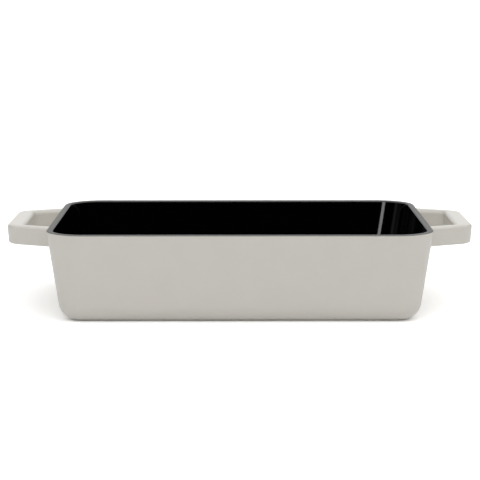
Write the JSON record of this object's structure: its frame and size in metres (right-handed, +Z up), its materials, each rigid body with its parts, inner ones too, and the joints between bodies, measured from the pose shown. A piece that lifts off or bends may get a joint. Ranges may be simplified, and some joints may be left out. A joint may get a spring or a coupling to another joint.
{
  "type": "roasting pan",
  "caption": "Deep rectangular enamelled cast-iron roasting pan with drafted walls, rounded corners, a flat base and a squared loop handle at each short end.",
  "frame": {"origin": "centre of the flat underside, on the surface that the pan stands on", "axes": "+X along the length through both handles, +Y across the width towards the back, +Z up"},
  "size_m": [0.4076, 0.2296, 0.0765],
  "materials": {
    "cast_iron": "as cast, hidden under the enamel",
    "stone_enamel": "satin stone-grey fired enamel",
    "black_enamel": "gloss black fired enamel",
    "rim_enamel": "satin dark grey fired enamel"
  },
  "bodies": {
    "root": {"pan_casting": "cast_iron", "left_handle_casting": "cast_iron", "right_handle_casting": "cast_iron", "side_enamel": "stone_enamel", "base_enamel": "stone_enamel", "left_handle_enamel": "stone_enamel", "right_handle_enamel": "stone_enamel", "inside_enamel": "black_enamel", "rim_enamel": "rim_enamel"}
  },
  "joints": []
}
